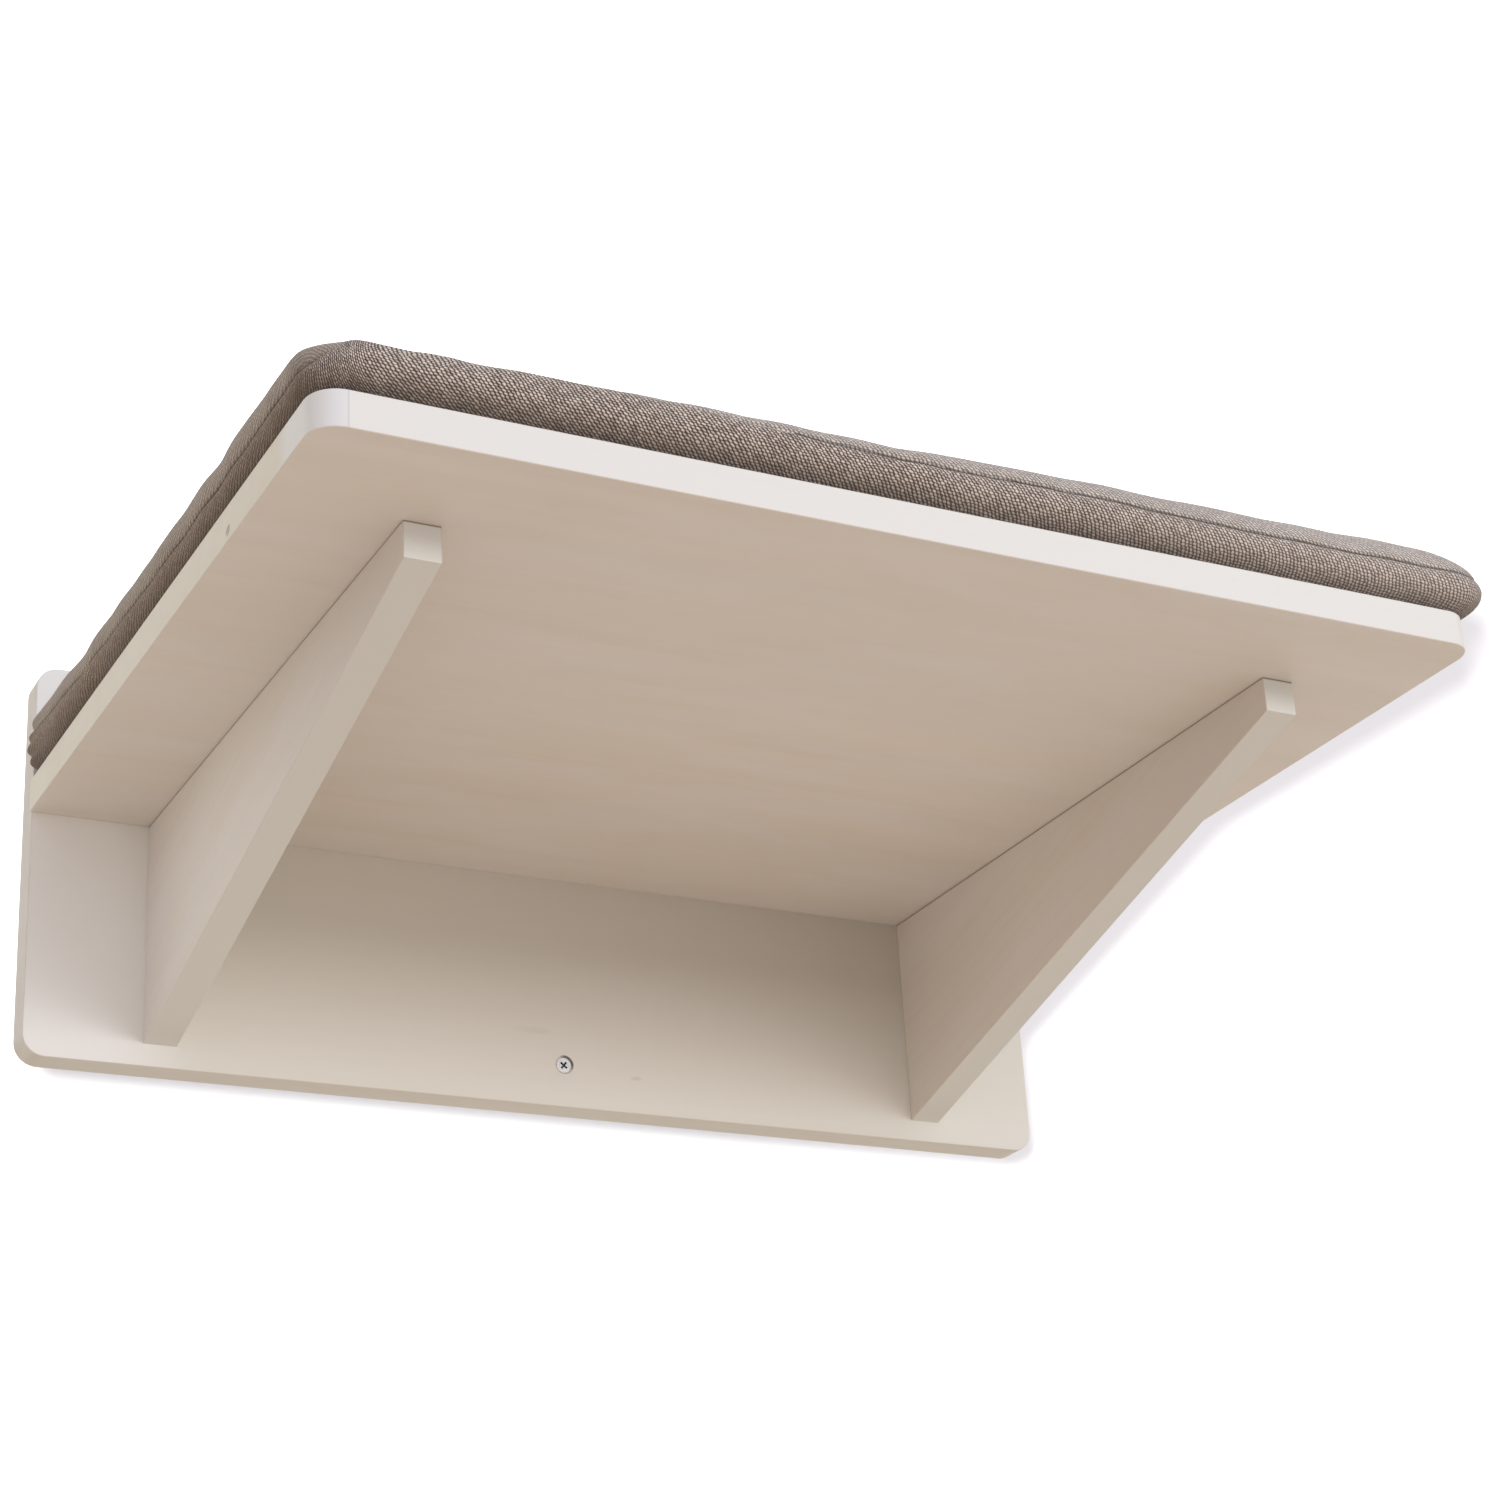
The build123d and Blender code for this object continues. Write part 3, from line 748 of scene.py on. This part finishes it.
def woven():
    """Chunky woven fabric: light knuckles of thick threads in slanting rows over dark gaps, partly
    the weave's own pattern and partly a painted highlight and painted shade. Painted light on the
    upper panel and towards the right, and painted shade in the seam's groove and near the seat.
    """
    made, net = material("woven_fabric")
    place = net.node("ShaderNodeAttribute", attribute_name="weave").outputs["Vector"]
    seam = net.node("ShaderNodeAttribute", attribute_name="seam").outputs["Fac"]
    sway = net.noise(net.scaled(place, 55), 2.0)
    slip_x = net.noise(net.scaled(place, 330), 2.0)
    slip_y = net.noise(net.vector("ADD", net.scaled(place, 330), (7.3, 2.1, 4.4)), 2.0)
    x, y, panel = net.apart(place)
    # On the upper panel y is mirrored, so that the rows lean alike on both
    y = net.times(y, net.math("MULTIPLY_ADD", panel, -2 / UPPER, 1.0))
    x = net.math("MULTIPLY_ADD", sway, 0.003, net.math("MULTIPLY_ADD", slip_x, 0.0014, x))
    y = net.math("MULTIPLY_ADD", sway, 0.003, net.math("MULTIPLY_ADD", slip_y, 0.0012, y))
    a = net.math("MULTIPLY_ADD", y, CELLS_A[1], net.times(x, CELLS_A[0]))
    b = net.math("MULTIPLY_ADD", x, CELLS_B[0], net.times(y, CELLS_B[1]))
    height, shade = knuckles(net, a, b, panel, 0.0)
    other_height, other_shade = knuckles(net, a, b, panel, 0.5)
    height = net.math("MAXIMUM", height, net.times(other_height, 0.97))
    fuzz = net.noise(net.scaled(place, 2600), 3.0, 0.7)
    light = net.math("MAXIMUM", shade, other_shade)
    light = net.math("MULTIPLY_ADD", net.math("SUBTRACT", fuzz, 0.5), 0.5, light)
    # Painted light: brighter knuckles on the upper panel and towards the right
    painted_light_gain = net.math("MULTIPLY_ADD", panel, 0.5, net.span(x, -0.05, 0.25, 1.0, 1.25))
    light = net.times(light, painted_light_gain)
    tone = net.mix(net.span(light, 0.0, 0.45), GAP_SHADE, THREAD)
    tone = net.mix(net.span(light, 0.45, 0.95), tone, CREST_HIGHLIGHT)
    broad = net.noise(net.scaled(place, 26), 2.0)
    tone = net.mix(net.span(broad, 0.35, 0.7, 0.0, 0.14), tone, (0.24, 0.18, 0.145))
    left = net.times(net.span(x, -0.222, -0.236), net.span(y, -0.37, -0.35, 0.0, 0.6))
    tone = net.mix(left, tone, (0.23, 0.14, 0.07))
    # Painted light: the upper panel, which faces up, paler and greyer
    tone = net.mix(net.times(panel, 0.55), tone, (0.66, 0.63, 0.59))
    # Painted light: paler towards the right
    tone = net.mix(net.span(x, -0.05, 0.25, 0.0, 0.2), tone, (0.70, 0.66, 0.62))
    level = net.apart(net.place())[2]
    tone = net.mix(net.span(level, 0.0355, 0.048, 0.6, 0.0, smooth=True), tone, SEAT_SHADE)
    # The seam's dark line: partly the stitching, partly painted shade in its groove
    tone = net.mix(net.span(seam, 0.0002, 0.0009, 0.8, 0.0), tone, SEAM_LINE_AND_SHADE)
    relief = net.math("MULTIPLY_ADD", fuzz, 0.22, height)
    surface(net, tone, 0.92, net.bump(relief, 0.0005), specular=0.2, sheen=0.2)
    return made


cover.data.materials.append(woven())
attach(cover, "cushion")
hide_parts("cushion_upper_panel", "cushion_lower_panel", "cushion_filling")

# ---------------------------------------------------------------- CAD nodes' materials

for name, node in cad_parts.items():
    if name.startswith("cushion_"):
        continue
    metal = wall_screw if name.startswith("wall_screw") else steel
    chosen = woods.get(name) or small.get(name) or metal
    if not node.material_slots:
        node.data.materials.append(chosen)
    for holder in node.material_slots:
        holder.material = chosen

# ---------------------------------------------------------------- camera

# Solved from the corners of the board, plate and brackets in the photograph
YAW, PITCH, ROLL = -0.4973, 0.4133, 0.0594
CAMERA_PLACE = Vector((-558.5, -1238.9, -507.5)) * MM
SENSOR_WIDTH, FOCAL_LENGTH = 36, 73.89
turned = (
    Matrix.Rotation(YAW, 3, "Z") @ Matrix.Rotation(PITCH, 3, "X") @ Matrix.Rotation(ROLL, 3, "Y")
)
right, ahead, up = (turned.col[k].copy() for k in range(3))
basis = Matrix((right, up, -ahead)).transposed()
lens = bpy.data.cameras.new("camera")
lens.sensor_width = SENSOR_WIDTH
lens.lens = FOCAL_LENGTH
lens.clip_end = 50
camera = bpy.data.objects.new("camera", lens)
bpy.context.collection.objects.link(camera)
camera.matrix_world = Matrix.Translation(CAMERA_PLACE) @ basis.to_4x4()
bpy.context.scene.camera = camera

# ---------------------------------------------------------------- studio

FLOOR = -0.62
BACK = 0.4
WALL_ASIDE, WALL_TOP, FLOOR_HALF = 4, 4, 6
# What the lamps add to a unit of the backdrops' diffuse, and the tint that makes the sum white
LIT = 1.08
GLOW = (1.0, 0.965, 0.995)
# The wall's diffuse and its glow where no lamp reaches, which sets the drop shadow's tone
WALL_GRAY, UMBRA, UMBRA_RISE = 0.06, 0.69, 0.17
FLOOR_GRAY, FLOOR_WHITE = 0.3, 1.1
WALL_BOUNCE = (0.87, 0.84, 0.745)
FLOOR_BOUNCE = (0.66, 0.555, 0.465)
ROOM_COLOR, ROOM_STRENGTH = (0.91, 0.91, 1.0), 0.78
KEY_PLACE, KEY_TARGET, KEY_POWER = (0.6, -3.0, 0.52), (0, -0.1, -0.02), 22.5
# The shadow lamp lies beside the camera, to its left and above it
SHADOW_LEFT, SHADOW_ABOVE, SHADOW_TARGET, SHADOW_POWER = 0.028, 0.03, (0, -0.1, 0), 420


def plane(name, corners):
    mesh = bpy.data.meshes.new(name)
    mesh.from_pydata(corners, [], [(0, 1, 2, 3)])
    made = bpy.data.objects.new(name, mesh)
    bpy.context.collection.objects.link(made)
    return made


def white_but_shadows(net, diffuse, strength):
    """A diffuse colour with a glow that, where the lamps reach it, makes up the rest of white."""
    glow = net.call("ShaderNodeEmission", GLOW, strength)
    return net.call("ShaderNodeAddShader", glow, net.call("ShaderNodeBsdfDiffuse", diffuse))


def wall_material():
    """White with its shadows for the camera, a warm glow for all else, and clear from behind."""
    made, net = material("wall")
    x, y, z = net.apart(net.place())
    gray = net.times(net.span(x, -0.4, 0.6, 1.0, 1.9), net.span(z, -0.2, 0.9, 1.0, 2.6), WALL_GRAY)
    umbra = net.span(x, 0.3, 0.55, UMBRA, UMBRA + UMBRA_RISE)
    strength = net.math("MULTIPLY_ADD", gray, -LIT, umbra)
    white = white_but_shadows(net, net.together(gray, gray, gray), strength)
    front = net.choose(net.shown_white(), net.call("ShaderNodeEmission", WALL_BOUNCE), white)
    behind = net.node("ShaderNodeNewGeometry").outputs["Backfacing"]
    net.finish(net.choose(behind, front, net.call("ShaderNodeBsdfTransparent")))
    return made


def floor_material():
    """White with its shadows for the camera, and a plain warm diffuse for all else."""
    made, net = material("floor")
    white = white_but_shadows(net, (FLOOR_GRAY,) * 3, FLOOR_WHITE - LIT * FLOOR_GRAY)
    plain = net.call("ShaderNodeBsdfDiffuse", FLOOR_BOUNCE)
    net.finish(net.choose(net.shown_white(), plain, white))
    return made


wall = plane("wall", [
    (-WALL_ASIDE, BACK, FLOOR), (WALL_ASIDE, BACK, FLOOR),
    (WALL_ASIDE, BACK, WALL_TOP), (-WALL_ASIDE, BACK, WALL_TOP),
])
wall.data.materials.append(wall_material())
floor = plane("floor", [
    (-FLOOR_HALF, -FLOOR_HALF, FLOOR), (FLOOR_HALF, -FLOOR_HALF, FLOOR),
    (FLOOR_HALF, FLOOR_HALF, FLOOR), (-FLOOR_HALF, FLOOR_HALF, FLOOR),
])
floor.data.materials.append(floor_material())

world = bpy.data.worlds.new("studio")
bpy.context.scene.world = world
world.use_nodes = True
net = Net(world.node_tree)
room = net.call("ShaderNodeBackground", ROOM_COLOR, ROOM_STRENGTH)
white = net.call("ShaderNodeBackground", (1, 1, 1), 1.0)
net.finish(net.choose(net.shown_white(), room, white), "ShaderNodeOutputWorld")


def lamp(name, place, target, power, **settings):
    """White area lamp at a place, turned to a target."""
    data = bpy.data.lights.new(name, "AREA")
    data.energy = power
    for key, value in settings.items():
        setattr(data, key, value)
    made = bpy.data.objects.new(name, data)
    bpy.context.collection.objects.link(made)
    made.location = place
    made.rotation_mode = "QUATERNION"
    made.rotation_quaternion = (Vector(target) - Vector(place)).to_track_quat("-Z", "Y")
    return made


lamp("key", KEY_PLACE, KEY_TARGET, KEY_POWER, shape="RECTANGLE", size=1.1, size_y=0.5)
# A small lamp draws the drop shadow, on the wall alone
beside = camera.matrix_world.translation - SHADOW_LEFT * right + SHADOW_ABOVE * up
shadow_lamp = lamp("shadow_lamp", beside, SHADOW_TARGET, SHADOW_POWER, shape="DISK", size=0.06)
only_wall = bpy.data.collections.new("only_wall")
only_wall.objects.link(wall)
shadow_lamp.light_linking.receiver_collection = only_wall

bpy.context.scene.view_settings.view_transform = "Standard"
